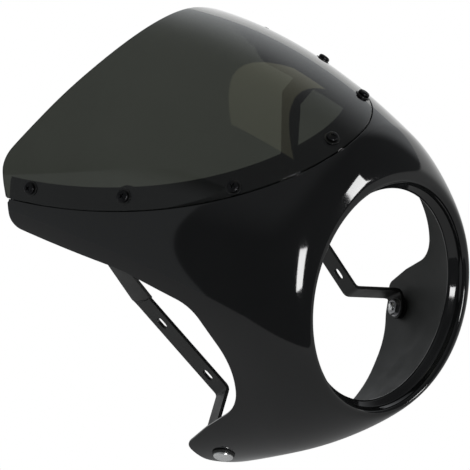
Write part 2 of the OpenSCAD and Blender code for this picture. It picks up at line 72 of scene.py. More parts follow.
# Rounds of a wall's edge and of the joggle's rim and the joggle's run back, mm, and a round's middle point
EDGE_ROUND = 0.7
RIM_ROUND = 0.5
STEP_RUN = 0.4
ROUND_MIDDLE = 0.3

# Rear and lower edge of the shell seen from the side: [depth, height] corners and their rounding, mm
LOWER_EDGE = [(257, 133.5), (257, 111.5), (150, 82), (90, 52), (65, -3), (71.8, -45), (112, -71.5),
              (140, -94), (138.5, -118), (121, -142), (111, -149)]
LOWER_EDGE_R = [0, 15, 114, 38, 84, 45, 40, 13, 14, 20, 0]
CHIN_Y = 108.0

# Windscreen screws, from the centre line back, mm
SCREW_Y = (26, 63.5, 146, 233)
SCREW_LIFT = (9, 6, 10.5, 11.5)
STRAP_SCREW = 2
SCREW_R = 2.5
SCREW_HEAD_R = 5.0
SCREW_HEAD_H = 3.9
SCREW_WASHER_R = 6.4
SCREW_WASHER_T = 1.0
SPOTFACE = 0.3
SCREW_NUT_AF = 8.0
SCREW_NUT_H = 4.0
THREAD_OUT = 1.5
UNDER_FLANGE = JOGGLE + WALL - 0.15

# Cross recess: (half length, half width) of a slot at the top of the head and at its floor, and its depth, mm
RECESS_TOP = (2.9, 0.62)
RECESS_FLOOR = (1.2, 0.42)
RECESS_DEPTH = 2.0

# Ears, their bolts and grommets, and the straps, mm
EAR_BOLT = (115, -107)
BOLT_R = 4.0
BOLT_HEAD_R = 8.5
BOLT_HEAD_H = 4.0
GROMMET_R = 9.75
GROMMET_NECK_R = 6.4
GROMMET_OUT = 1.5
GROMMET_IN = 2.5
EAR_FACE = -0.4
EAR_BACK = -2.8
STRAP_T = 3.0
BOLT_WASHER_T = 1.2
BOLT_NUT_AF = 13.0
BOLT_NUT_H = 4.0

# Mesh of the shell: columns from the crown by the tail round to the chin, rows from the lip back
SEAM_COLUMNS = 130
EDGE_COLUMNS = 250
NOSE_ROWS = 18
WALL_ROWS = 22
FLANGE_ROWS = 8
NOSE_SHARE = 0.8

# Mesh of the windscreen: columns from the crown back to the tail, rows from the seam to the rear edge
SCREEN_COLUMNS = 110
SCREEN_ROWS = 34

# Power that crowds the columns along the seam and the rear edge towards the crown
CROWN_CROWDING = 1.6

# Camera: where it stands and its clip distances in metres, its turn in degrees, its lens and sensor in mm
CAMERA_AT = (-1.270, -1.303, 0.995)
CAMERA_TURN = (62.69, 13.22, -47.705)
CAMERA_LENS = 191.5
CAMERA_SENSOR = 36
CAMERA_CLIP = (0.1, 50)

# World glow by a ray's direction: a sweep behind the part, which changes across and upwards, and the room's
# own glow, which grows overhead
SWEEP_X_SHARE = 0.3
SWEEP_BEHIND = (-0.04, 0.32)
SWEEP_ACROSS = (-0.6, 0.6)
SWEEP_GLOW = (0.15, 0.50)
SWEEP_UP = (0.15, 0.85)
OVERHEAD = (0.5, 0.9)
ROOM_GLOW = (0.11, 0.24)
ROOM_COLOUR = (0.94, 0.97, 1.0, 1)

# Floor, whose glow grows with its own X + Y, and the cards and panels that the lacquer mirrors, metres
FLOOR_AT = (0.92, 2.4, -0.1512)
FLOOR_R = 3.0
FLOOR_FADE = (-2.93, -2.27)
FLOOR_GLOW = (0.13, 0.66)
LEFT_WALL_X = -2.0
LEFT_WALL = [(0.55, -1.2), (0.1, 1.08), (-0.38, 3.4), (0.25, 3.4), (2.08, 0.9), (2.7, 1.0), (3.0, -0.9)]
LEFT_WALL_FADE = (2.1, 3.3)
LEFT_WALL_GLOW = (0.39, 0.16)
STRIP_LEFT = [(-0.71, -1.82, 0.64), (-0.3, -1.95, 0.46), (-0.88, -1.85, 0.14), (-1.28, -1.6, 0.17)]
STRIP_RIGHT_AT = (1.16, -1.58, -0.19)
CEILING_AT = (2.185, 0.66, 1.6)
WHITE = (1, 1, 1)


# Skin, a radius at each angle and depth
def series(values):
    """Weights of the cosine series that passes through seven guide values."""
    last = len(values) - 1
    half = np.ones(last + 1)
    half[[0, last]] = 0.5
    j = np.arange(last + 1)
    cosines = np.cos(np.radians(GUIDE_STEP * np.outer(j, j)))
    return 2 * half / last * (cosines @ (half * np.array(values, float)))


RISE_C = series(NOSE_RISE)
MID_C = series(R_AT_100)
TAIL_C = series(R_AT_200)


def blend(weights, a):
    return np.cos(np.radians(np.multiply.outer(np.asarray(a, float), np.arange(len(weights))))) @ weights


def nose_depth(a):
    """Depth over which the nose curves out from the crest of the lip."""
    return NOSE_TOP + (NOSE_BOTTOM - NOSE_TOP) * np.abs(a) / 180


def skin_r(a, y):
    """Radius of the skin at angle a (degrees from the crown) and depth y."""
    rise, mid, tail = blend(RISE_C, a), blend(MID_C, a), blend(TAIL_C, a)
    base = CREST_R + rise
    bow = (tail - 2 * mid + base) / 2
    flare = mid - base - bow
    s = np.minimum(y / nose_depth(a), 1)
    u = np.asarray(y, float) / 100
    return CREST_R + rise * np.sqrt(np.maximum(0, 1 - (1 - s) ** 2)) + flare * u + bow * u * u


def skin_p(a, y):
    """Point of the skin."""
    r = skin_r(a, y)
    return np.stack([r * np.sin(np.radians(a)), y + 0 * r, r * np.cos(np.radians(a))], -1)


def unit(v):
    v = np.asarray(v, float)
    return v / np.linalg.norm(v, axis=-1, keepdims=True)


def skin_n(a, y):
    """Outward normal of the skin, from small steps round it and along it."""
    turn, step = 0.1, 0.01
    y = np.maximum(y, 2 * step)
    round_it = skin_p(a + turn, y) - skin_p(a - turn, y)
    return unit(np.cross(round_it, skin_p(a, y + step) - skin_p(a, y - step)))


def skin_at(a, y, off=0.0):
    """Point at a distance off outside the skin."""
    return skin_p(a, y) + np.asarray(off)[..., None] * skin_n(a, y)


def seam_at(y, lift):
    """Height of the seam at depth y, raised by lift."""
    middle, half = (SEAM_FRONT + SEAM_BACK) / 2, (SEAM_BACK - SEAM_FRONT) / 2
    rise = np.where(np.less(y, middle), SEAM_RISE_FRONT, SEAM_RISE_BACK)
    return SEAM_Z + lift + rise * ((y - middle) / half) ** 2


def bisect(above, low, high):
    """Where above() turns from true to false, for arrays of brackets."""
    halvings = 44
    low, high = np.array(low, float), np.array(high, float)
    for _ in range(halvings):
        mid = (low + high) / 2
        go = above(mid)
        low, high = np.where(go, mid, low), np.where(go, high, mid)
    return (low + high) / 2


def angle_at(y, z):
    """Angle at which the skin has the height z at the depth y."""
    y, z = np.asarray(y, float), np.asarray(z, float)
    return bisect(lambda a: skin_r(a, y) * np.cos(np.radians(a)) > z, 0 * y, 180 + 0 * y)


def crown_y(lift):
    """Depth at which the crown crosses the seam raised by lift."""
    deepest = 120.0
    return float(bisect(lambda y: skin_r(0.0, y) < seam_at(y, lift), 0.0, deepest))


# Side-view outlines
def rounded(corners, radii):
    """Path through corners with arcs of the given radii, as points about 1 mm apart on the arcs."""
    longest = 0.48
    c = [np.array(p, float) for p in corners]
    out = [c[0]]
    for i in range(1, len(c) - 1):
        a, b = unit(c[i - 1] - c[i]), unit(c[i + 1] - c[i])
        half = math.acos(float(a @ b)) / 2
        reach = min(radii[i] / math.tan(half), longest * np.linalg.norm(c[i - 1] - c[i]),
                    longest * np.linalg.norm(c[i + 1] - c[i]))
        r = reach * math.tan(half)
        centre = c[i] + unit(a + b) * r / math.sin(half)
        v0, v1 = c[i] + a * reach - centre, c[i] + b * reach - centre
        t0 = math.atan2(v0[1], v0[0])
        sweep = (math.atan2(v1[1], v1[0]) - t0 + 3 * math.pi) % (2 * math.pi) - math.pi
        n = max(3, int(abs(sweep) * r))
        out += [centre + r * np.array([math.cos(t0 + sweep * k / n), math.sin(t0 + sweep * k / n)])
                for k in range(n + 1)]
    return np.array(out + [c[-1]])


def along(path, share):
    """Points at shares of a path's length."""
    steps = np.r_[0, np.cumsum(np.linalg.norm(np.diff(path, axis=0), axis=1))]
    s = np.asarray(share) * steps[-1]
    return np.stack([np.interp(s, steps, path[:, k]) for k in range(2)], -1)


def path_length(path):
    return float(np.linalg.norm(np.diff(path, axis=0), axis=1).sum())


# Meshes and pieces
def to_row(points):
    """Points in mm behind the opening's front plane, as metres in the row frame."""
    return (np.asarray(points, float) - [0, SEAT_Y, 0]) * MM


def link(mesh, name, materials, replaces=(), at=None):
    """Makes a piece of a mesh, with its materials and its place in the frame."""
    piece = bpy.data.objects.new(name, mesh)
    bpy.context.scene.collection.objects.link(piece)
    if not mesh.materials:
        for m in materials:
            mesh.materials.append(m)
    if at is not None:
        piece.matrix_world = at
    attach(piece, "root")
    if replaces:
        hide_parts(*replaces)
    return piece


def grid_mesh(name, loops, close_columns, face_slot=None, caps=False):
    """Mesh of closed loops of points, loops[i][j] in mm. face_slot gives each strip j its material."""
    n, m = loops.shape[:2]
    ii, jj = np.meshgrid(np.arange(n if close_columns else n - 1), np.arange(m), indexing="ij")
    i2, j2 = (ii + 1) % n, (jj + 1) % m
    quads = np.stack([ii * m + jj, i2 * m + jj, i2 * m + j2, ii * m + j2], -1).reshape(-1, 4)
    slots = np.zeros(len(quads), int) if face_slot is None else np.asarray(face_slot)[jj].ravel()
    faces = quads.tolist()
    if caps:
        faces += [list(range(m)), list(range((n - 1) * m, n * m))[::-1]]
        slots = np.r_[slots, [0, 0]]
    mesh = bpy.data.meshes.new(name)
    mesh.from_pydata(to_row(loops.reshape(-1, 3)).tolist(), [], faces)
    mesh.polygons.foreach_set("material_index", slots.astype(np.int32))
    mesh.polygons.foreach_set("use_smooth", np.ones(len(faces), bool))
    mesh.update()
    bm = bmesh.new()
    bm.from_mesh(mesh)
    bmesh.ops.remove_doubles(bm, verts=bm.verts, dist=1e-6)
    bmesh.ops.recalc_face_normals(bm, faces=bm.faces)
    bm.to_mesh(mesh)
    bm.free()
    return mesh


def both_halves(loops, closed):
    """Adds the mirror image of loops that run from the crown outwards."""
    other = loops * [-1, 1, 1]
    return np.concatenate([loops, other[-2:0:-1]]) if closed else np.concatenate([other[:0:-1], loops])


def lathe(name, profile, segments):
    """Mesh turned round Z from a profile of (radius, height) in mm, in its own frame, in metres."""
    turns = np.radians(np.arange(segments) * 360 / segments)
    bm = bmesh.new()
    rings = []
    for r, z in np.array(profile, float) * MM:
        if r < 1e-9:
            rings.append([bm.verts.new((0, 0, z))])
        else:
            rings.append([bm.verts.new((r * math.cos(t), r * math.sin(t), z)) for t in turns])
    for low, high in zip(rings, rings[1:]):
        for k in range(segments):
            k2 = (k + 1) % segments
            if len(low) == 1:
                bm.faces.new((low[0], high[k2], high[k]))
            elif len(high) == 1:
                bm.faces.new((low[k], low[k2], high[0]))
            else:
                bm.faces.new((low[k], low[k2], high[k2], high[k]))
    bmesh.ops.recalc_face_normals(bm, faces=bm.faces)
    for f in bm.faces:
        f.smooth = True
    mesh = bpy.data.meshes.new(name)
    bm.to_mesh(mesh)
    bm.free()
    return mesh


def corner(r0, z0, turn0, turn1, radius, steps=4):
    """Points of a small round about (r0, z0) in a lathe profile."""
    return [(r0 + radius * math.cos(math.radians(t)), z0 + radius * math.sin(math.radians(t)))
            for t in np.linspace(turn0, turn1, steps + 1)]


def modifier(piece, kind, **settings):
    m = piece.modifiers.new(kind.lower(), kind)
    for key, value in settings.items():
        setattr(m, key, value)


def weigh_normals(piece):
    modifier(piece, "WEIGHTED_NORMAL", keep_sharp=True, weight=60)


def stand(p, n, side):
    """Placing matrix at a point in mm, Z along n and X near the row's X; side -1 gives its mirror place."""
    p, n = np.array(p, float) * [side, 1, 1], np.array(n, float) * [side, 1, 1]
    u = np.array([side, 0, 0], float)
    x = unit(u - (u @ n) * n)
    y = np.cross(n, x)
    place = to_row(p)
    return Matrix([[x[k], y[k], n[k], place[k]] for k in range(3)] + [[0, 0, 0, 1]])


# Materials
NOISE_LOW = 0.3
NOISE_HIGH = 0.7


def new_material(name):
    m = bpy.data.materials.new(name)
    m.use_nodes = True
    nodes, links = m.node_tree.nodes, m.node_tree.links
    return m, nodes, links, nodes["Principled BSDF"]


def noise(nodes, links, scale, detail):
    where = nodes.new("ShaderNodeTexCoord")
    tex = nodes.new("ShaderNodeTexNoise")
    tex.inputs["Scale"].default_value = scale
    tex.inputs["Detail"].default_value = detail
    tex.inputs["Roughness"].default_value = 0.55
    links.new(where.outputs["Object"], tex.inputs["Vector"])
    return tex.outputs["Fac"]


def vary(nodes, links, source, low, high):
    """Maps the useful part of a noise on to low..high."""
    r = nodes.new("ShaderNodeMapRange")
    r.inputs["From Min"].default_value = NOISE_LOW
    r.inputs["From Max"].default_value = NOISE_HIGH
    r.inputs["To Min"].default_value = low
    r.inputs["To Max"].default_value = high
    links.new(source, r.inputs["Value"])
    return r.outputs["Result"]


def tint(nodes, links, source, low, high):
    """Maps the useful part of a noise on to the colours between low and high."""
    mix = nodes.new("ShaderNodeValToRGB")
    mix.color_ramp.elements[0].position = NOISE_LOW
    mix.color_ramp.elements[1].position = NOISE_HIGH
    mix.color_ramp.elements[0].color = (*low, 1)
    mix.color_ramp.elements[1].color = (*high, 1)
    links.new(source, mix.inputs["Fac"])
    return mix.outputs["Color"]


def bump(nodes, links, height, shader, strength, distance):
    b = nodes.new("ShaderNodeBump")
    b.inputs["Strength"].default_value = strength
    b.inputs["Distance"].default_value = distance
    links.new(height, b.inputs["Height"])
    links.new(b.outputs["Normal"], shader.inputs["Normal"])


def lacquer():
    """Gloss black lacquer with a faint orange peel."""
    m, nodes, links, s = new_material("lacquer")
    peel = noise(nodes, links, 900, 2)
    haze = noise(nodes, links, 14, 5)
    black = tint(nodes, links, haze, (0.0045, 0.0047, 0.005), (0.0065, 0.0067, 0.007))
    links.new(black, s.inputs["Base Color"])
    links.new(vary(nodes, links, haze, 0.045, 0.075), s.inputs["Roughness"])
    s.inputs["IOR"].default_value = 1.5
    bump(nodes, links, peel, s, 0.02, 0.00005)
    return m


def moulding_back():
    """Unpolished inner face of the shell: dark grey gelcoat with a fine cloth print."""
    m, nodes, links, s = new_material("moulding_back")
    blot = noise(nodes, links, 40, 6)
    grain = noise(nodes, links, 1600, 3)
    links.new(tint(nodes, links, blot, (0.020, 0.022, 0.020), (0.032, 0.034, 0.032)), s.inputs["Base Color"])
    links.new(vary(nodes, links, blot, 0.45, 0.6), s.inputs["Roughness"])
    bump(nodes, links, grain, s, 0.25, 0.0002)
    return m


def smoked_acrylic():
    """Dark smoke acrylic of the windscreen."""
    m, nodes, links, s = new_material("smoked_acrylic")
    film = noise(nodes, links, 9, 4)
    smoke = tint(nodes, links, film, (0.0265, 0.029, 0.0235), (0.031, 0.034, 0.0275))
    links.new(smoke, s.inputs["Base Color"])
    links.new(vary(nodes, links, film, 0.02, 0.045), s.inputs["Roughness"])
    s.inputs["IOR"].default_value = 1.49
    s.inputs["Transmission Weight"].default_value = 1.0
    return m


def powder_coat():
    """Satin black powder coat of the straps."""
    m, nodes, links, s = new_material("powder_coat")
    pebble = noise(nodes, links, 1100, 3)
    wear = noise(nodes, links, 60, 6)
    black = tint(nodes, links, wear, (0.005, 0.0053, 0.005), (0.009, 0.0094, 0.009))
    links.new(black, s.inputs["Base Color"])
    links.new(vary(nodes, links, wear, 0.34, 0.46), s.inputs["Roughness"])
    bump(nodes, links, pebble, s, 0.18, 0.0002)
    return m


def metal(name, low, high, rough, grain_scale):
    """Metal whose tone and roughness vary with a fine grain."""
    m, nodes, links, s = new_material(name)
    grain = noise(nodes, links, grain_scale, 5)
    links.new(tint(nodes, links, grain, low, high), s.inputs["Base Color"])
    links.new(vary(nodes, links, grain, rough * 0.8, rough * 1.3), s.inputs["Roughness"])
    s.inputs["Metallic"].default_value = 1.0
    bump(nodes, links, grain, s, 0.1, 0.0001)
    return m


def moulded(name, low, high, rough, grain_scale):
    """Rubber or plastic whose tone and roughness vary with a fine grain."""
    m, nodes, links, s = new_material(name)
    grain = noise(nodes, links, grain_scale, 4)
    links.new(tint(nodes, links, grain, low, high), s.inputs["Base Color"])
    links.new(vary(nodes, links, grain, rough * 0.85, rough * 1.15), s.inputs["Roughness"])
    bump(nodes, links, grain, s, 0.15, 0.0001)
    return m


# Shell
def seam_columns():
    """Columns that turn into the flange at the seam and end at the flange's upper edge."""
    tail_inset, step_inset, step_lift = 1.4, 0.8, 0.3
    lip_crowding = 0.8
    t = np.linspace(0, 1, SEAM_COLUMNS + 1)
    foot = crown_y(0) + (TAIL_Y - tail_inset - crown_y(0)) * t ** CROWN_CROWDING
    turn_a = angle_at(foot, seam_at(foot, 0))
    top = np.arange(crown_y(FLANGE_LIFT), TAIL_Y, 1.0)
    step_y = TAIL_Y - step_inset
    path = np.array([(y, seam_at(y, FLANGE_LIFT)) for y in top] + [(TAIL_Y, seam_at(TAIL_Y, FLANGE_LIFT)),
                                                                (step_y, seam_at(step_y, step_lift))])
    end = along(path, t ** CROWN_CROWDING)
    end_a = angle_at(end[:, 0], end[:, 1])
    end_a[0] = turn_a[0] = 0
    lip_a = turn_a[-1] * t ** lip_crowding
    return np.stack([lip_a, turn_a, foot, end_a, end[:, 0], np.full(len(t), JOGGLE)], -1)


def edge_columns(first_a):
    """Columns that end at the tail, the fork cut-out, the ear or the chin."""
    chin_mm_per_degree = 1.755
    widest_band, first_band, band_growth = 6.0, 1.2, 30
    edge = rounded(LOWER_EDGE, LOWER_EDGE_R)
    to_chin = angle_at(edge[-1, 0], edge[-1, 1])
    share = path_length(edge) / (path_length(edge) + chin_mm_per_degree * (180 - to_chin))
    n_edge = int(EDGE_COLUMNS * share)
    q = along(edge, np.linspace(0, 1, n_edge + 1)[1:])
    k = np.linspace(0, 1, EDGE_COLUMNS - n_edge + 1)[1:]
    end_a = np.r_[angle_at(q[:, 0], q[:, 1]), to_chin + (180 - to_chin) * k]
    end_y = np.r_[q[:, 0], CHIN_Y + (edge[-1, 0] - CHIN_Y) * (1 - k) ** 2]
    w = np.linspace(0, 1, len(end_a) + 1)[1:]
    lip_a = (end_a + first_a + (180 - first_a) * w) / 2
    lip_a[-1] = 180
    band = np.minimum(widest_band, first_band + band_growth * w)
    turn_a = end_a + (lip_a - end_a) * band / end_y / 2
    turn_a[-1] = 180
    return np.stack([lip_a, turn_a, end_y - band, end_a, end_y, np.zeros(len(end_a))], -1)


def shell_columns():
    """Each column's angle at the lip, angle and depth at its turn and at its end, and step inwards."""
    seam = seam_columns()
    return np.concatenate([seam, edge_columns(seam[-1, 1])])


def smooth(x):
    return x * x * (3 - 2 * x)


def round_edge(tip_out, tip_in, tangent, normal, e):
    """Six points that round the edge of a wall from its outer to its inner face."""
    t, n = tangent * e, normal * e
    return [tip_out - t, tip_out - (t + n) * ROUND_MIDDLE, tip_out - n,
            tip_in + n, tip_in - (t - n) * ROUND_MIDDLE, tip_in - t]


def shell_loops(columns):
    """One closed loop a column: lip, skin, joggle, flange or edge band, inner face and collar."""
    lip_a, turn_a, turn_y, end_a, end_y, drop = (columns[:, k][:, None] for k in range(6))
    has_step = drop > 0
    nose = np.minimum(nose_depth(lip_a), NOSE_SHARE * turn_y)
    theta = np.linspace(0, np.pi / 2, NOSE_ROWS + 1)[None, :]
    rows_y = np.concatenate([nose * (1 - np.cos(theta)),
                             nose + (turn_y - nose) * np.linspace(0, 1, WALL_ROWS + 1)[None, 1:]], 1)
    rows_a = lip_a + (turn_a - lip_a) * smooth(rows_y / turn_y)
    step_run = STEP_RUN * has_step
    f = np.linspace(0, 1, FLANGE_ROWS + 1)[None, :]
    flange_y = turn_y + step_run + (end_y - turn_y - step_run) * f
    flange_a = turn_a + (end_a - turn_a) * f
    out = np.stack([np.sin(np.radians(lip_a)), 0 * lip_a, np.cos(np.radians(lip_a))], -1)
    back = np.array([0.0, 1.0, 0.0])

    def turned(radius, depth):
        return radius * out + depth * back

    lip = [turned(LAMP_R + r, COLLAR_DEPTH - y) for r, y in FUNNEL]
    lip += [turned(CREST_R - LIP_ROUND * math.cos(t), LIP_ROUND * (1 - math.sin(t)))
            for t in np.linspace(0, math.pi / 2, 9)[:-1]]
    skin = skin_at(rows_a, rows_y)
    tangent = unit(skin[:, -1] - skin[:, -2])[:, None, :]
    rim = skin[:, -1:, :]
    rim_n = skin_n(turn_a, turn_y)
    rim_round = RIM_ROUND * has_step[..., None]
    joggle = [rim - tangent * rim_round, rim - (tangent + rim_n) * rim_round * ROUND_MIDDLE,
              rim - rim_n * rim_round, rim - rim_n * (drop - step_run)[..., None]]
    flange_out = skin_at(flange_a, flange_y, -drop + 0 * flange_y)
    flange_in = skin_at(flange_a, flange_y, -drop - WALL + 0 * flange_y)
    end_t = unit(flange_out[:, -1] - flange_out[:, -3] + 1e-9)[:, None, :]
    edge = round_edge(flange_out[:, -1:], flange_in[:, -1:], end_t, skin_n(end_a, end_y), EDGE_ROUND)
    rows_over_collar = 3
    inner_rows = slice(NOSE_ROWS + WALL_ROWS - 1, rows_over_collar, -1)
    inner = skin_at(rows_a[:, inner_rows], rows_y[:, inner_rows], -WALL)
    collar = [turned(LAMP_R + r, COLLAR_DEPTH - y) for r, y in COLLAR]
    outside = lip + [skin[:, :-1]] + joggle + [flange_out[:, :-1]] + edge[:3]
    inside = edge[3:] + [flange_in[:, -2::-1], inner] + collar
    loops = np.concatenate(outside + inside, 1)
    strip_slot = np.ones(loops.shape[1], int)
    strip_slot[:sum(part.shape[1] for part in outside)] = 0
    return loops, strip_slot


def make_shell():
    loops, strip_slot = shell_loops(shell_columns())
    mesh = grid_mesh("shell", both_halves(loops, True), True, strip_slot)
    shell = link(mesh, "shell", [lacquer(), moulding_back()], replaces=["fairing_body"])
    weigh_normals(shell)


# Windscreen
def make_windscreen():
    """Curved sheet from the seam up to the rear edge, over the flange, with rounded edges."""
    t = np.linspace(0, 1, SCREEN_COLUMNS + 1) ** CROWN_CROWDING
    start = crown_y(SEAM_GAP)
    foot_y = start + (TAIL_Y - start) * t
    foot_a = angle_at(foot_y, seam_at(foot_y, SEAM_GAP))
    samples, least_lift = 1500, 1.6
    dense = along(rounded(SCREEN_EDGE, SCREEN_EDGE_R), np.linspace(0, 1, samples))
    keep = (skin_r(0.0, dense[:, 0]) > dense[:, 1]) & (dense[:, 1] > seam_at(dense[:, 0], least_lift))
    top = along(dense[keep], t)
    top_a = angle_at(top[:, 0], top[:, 1])
    foot_a[0] = top_a[0] = 0
    f = np.linspace(0, 1, SCREEN_ROWS + 1)[None, :]
    a = foot_a[:, None] + (top_a - foot_a)[:, None] * f
    y = foot_y[:, None] + (top[:, 0] - foot_y)[:, None] * f
    outer, inner, n = skin_at(a, y), skin_at(a, y, -SCREEN_T), skin_n(a, y)
    upward = unit(outer[:, 1:] - outer[:, :-1])
    e = np.minimum(EDGE_ROUND, np.linalg.norm(outer[:, -1] - outer[:, 0], axis=1) * 0.2)[:, None, None]

    def rim(k, tangent):
        return round_edge(outer[:, k][:, None], inner[:, k][:, None], tangent[:, None], n[:, k][:, None], e)

    loops = np.concatenate([outer[:, 1:-1]] + rim(-1, upward[:, -1]) + [inner[:, -2:0:-1]]
                           + rim(0, -upward[:, 0])[::-1], 1)
    mesh = grid_mesh("windscreen", both_halves(loops, False), False, caps=True)
    screen = link(mesh, "windscreen_shell", [smoked_acrylic()], replaces=["windscreen"])
    weigh_normals(screen)


# Fasteners
def dome_profile(r, low, h, flat, edge):
    """Pan head: side, rounded shoulder and a low crown."""
    chamfer, crown_share, crown_start, crown_rings = 0.25, 0.22, 0.78, 9
    crown = h * crown_share
    ball = (r * r + crown * crown) / (2 * crown)
    top = low + h
    pts = [(flat, low), (r - chamfer, low), (r, low + chamfer), (r, top - crown - edge)]
    pts += corner(r - edge, top - crown - edge, 0, 60, edge)[1:]
    for s in np.linspace(crown_start, 0, crown_rings):
        pts.append((r * s, top - ball + math.sqrt(ball * ball - (r * s) ** 2)))
    pts[-1] = (0, top)
    return pts


def thread_profile(r, low, high, pitch):
    """Rings that stand for a thread, from low to high."""
    depth = 0.35
    pts = [(0, low), (r - 0.55, low), (r - 0.25, low + 0.3)]
    z = low + 0.5
    while z < high - pitch:
        pts += [(r, z), (r, z + pitch * 0.2), (r - depth, z + pitch * 0.6), (r - depth, z + pitch * 0.7)]
        z += pitch
    return pts + [(r, high)]


def screw_mesh(name, end):
    """Pan-head screw with a cross recess, standing on its washer, Z along its axis."""
    low = SCREW_WASHER_T - SPOTFACE
    head = dome_profile(SCREW_HEAD_R, low, SCREW_HEAD_H, SCREW_R, 1.1)
    mesh = lathe(name, thread_profile(SCREW_R, end, low - 2, 0.8) + [(SCREW_R, low)] + head[1:], 48)
    ends = ((*RECESS_TOP, low + SCREW_HEAD_H + 1), (*RECESS_FLOOR, low + SCREW_HEAD_H - RECESS_DEPTH))
    square = ((-1, -1), (1, -1), (1, 1), (-1, 1))
    cut = bmesh.new()
    for turn in (0, 90):
        ring = [[cut.verts.new(Vector((x * half, y * side, z)) * MM) for x, y in square]
                for half, side, z in ends]
        cut.faces.new(ring[0])
        cut.faces.new(ring[1][::-1])
        for k in range(4):
            cut.faces.new((ring[0][k], ring[1][k], ring[1][(k + 1) % 4], ring[0][(k + 1) % 4]))
        bmesh.ops.rotate(cut, verts=sum(ring, []), matrix=Matrix.Rotation(math.radians(turn), 3, "Z"))
    bmesh.ops.recalc_face_normals(cut, faces=cut.faces)
    cutter_mesh = bpy.data.meshes.new("recess")
    cut.to_mesh(cutter_mesh)
    cut.free()
    return apply_cut(mesh, cutter_mesh)


def apply_cut(mesh, cutter_mesh):
    """Cuts one mesh out of another and returns the result as a mesh of its own."""
    target = bpy.data.objects.new("cut_target", mesh)
    cutter = bpy.data.objects.new("cutter", cutter_mesh)
    for o in (target, cutter):
        bpy.context.scene.collection.objects.link(o)
    modifier(target, "BOOLEAN", object=cutter, operation="DIFFERENCE", solver="EXACT", use_self=True)
    bpy.context.view_layer.update()
    result = bpy.data.meshes.new_from_object(target.evaluated_get(bpy.context.evaluated_depsgraph_get()))
    result.name = mesh.name
    for o in (target, cutter):
        bpy.data.objects.remove(o)
    return result


def washer_mesh(name, outer, inner, low, high, edge):
    profile = [(inner, low + edge), (inner + edge, low), (outer - edge, low)]
    profile += corner(outer - edge, low + edge, -90, 0, edge, 3)[1:]
    profile += corner(outer - edge, high - edge, 0, 90, edge, 3)
    profile += [(inner + edge, high), (inner, high - edge), (inner, low + edge)]
    return lathe(name, profile, 56)


def nut_mesh(name, flats, bore, low, high):
    """Hexagon nut with chamfered corners and a countersunk bore, in its own frame."""
    n, sink, face_share, slope = 72, 0.4, 0.95, math.radians(28)
    t = np.radians(np.arange(n) * 360 / n)
    hexagon = flats / 2 / np.cos((t + math.pi / 6) % (math.pi / 3) - math.pi / 6)
    flat_r = flats / 2 * face_share
    cham = (hexagon - flat_r) * math.tan(slope)
    rows = [(bore, low + sink), (bore + sink, low), (flat_r, low), (hexagon, low + cham),
            (hexagon, high - cham), (flat_r, high), (bore + sink, high), (bore, high - sink)]
    rings = [np.stack([r * np.cos(t), r * np.sin(t) + SEAT_Y, z + 0 * t], -1) for r, z in rows]
    mesh = grid_mesh(name, np.stack(rings, 1), True)
    mesh.polygons.foreach_set("use_smooth", np.zeros(len(mesh.polygons), bool))
    return mesh


def screw_places():
    """(side, angle, depth, index) of each windscreen screw."""
    places = [(1, 0.0, SCREW_Y[0], 0)]
    for i in range(1, len(SCREW_Y)):
        a = float(angle_at(SCREW_Y[i], seam_at(SCREW_Y[i], SCREW_LIFT[i])))
        places += [(1, a, SCREW_Y[i], i), (-1, a, SCREW_Y[i], i)]
    return places


def make_screen_screws(zinc):
    """Screws, washers and nuts round the windscreen. Each head stands at another turn."""
    black = metal("black_oxide", (0.020, 0.020, 0.021), (0.034, 0.034, 0.036), 0.36, 700)
    nylon = moulded("nylon", (0.006, 0.006, 0.006), (0.010, 0.010, 0.010), 0.38, 500)
    first_turn, next_turn = 25, 37
    meshes = {}
    for on_strap in (False, True):
        nut_top = -UNDER_FLANGE - (STRAP_T if on_strap else 0)
        nut_end = nut_top - SCREW_NUT_H
        meshes[on_strap] = (screw_mesh(f"screw_{int(on_strap)}", nut_end - THREAD_OUT),
                            nut_mesh(f"nut_{int(on_strap)}", SCREW_NUT_AF, SCREW_R + 0.05, nut_end, nut_top))
    ring_top = SCREW_WASHER_T - SPOTFACE
    ring = washer_mesh("nylon_ring", SCREW_WASHER_R, SCREW_R + 0.2, -SPOTFACE, ring_top, 0.25)
    for k, (side, a, y, i) in enumerate(screw_places()):
        at = stand(skin_p(a, y), skin_n(a, y), side)
        turned = at @ Matrix.Rotation(math.radians(first_turn + next_turn * k), 4, "Z")
        screw, nut = meshes[i == STRAP_SCREW]
        parts = (("screw", screw, black, "screw_black", turned), ("washer", ring, nylon, "washer_nylon", at),
                 ("nut", nut, zinc, "nut_zinc", turned))
        for kind, mesh, material, slot, place in parts:
            link(mesh, f"screen_{kind}_{k}", [material], [f"screen_{kind}s"] if k == 0 else (), place)


def grommet_profile(low, tab):
    """Rubber ring with a flange on each face of the ear, from its outer face low to its inner face tab."""
    e, bore, sink, lean = 0.6, BOLT_R + 0.1, 0.3, 0.2
    outer = [(bore, low - sink), (bore + sink, low), (GROMMET_R - e, low)]
    outer += corner(GROMMET_R - e, low - e, 90, 0, e)[1:]
    neck = [(GROMMET_R, EAR_FACE + lean), (GROMMET_R - lean, EAR_FACE), (GROMMET_NECK_R, EAR_FACE),
            (GROMMET_NECK_R, EAR_BACK), (GROMMET_R - lean, EAR_BACK), (GROMMET_R, EAR_BACK - lean)]
    inner = corner(GROMMET_R - e, tab + e, 0, -90, e)
    return outer + neck + inner + [(bore + sink, tab), (bore, tab + sink), (bore, low - sink)]


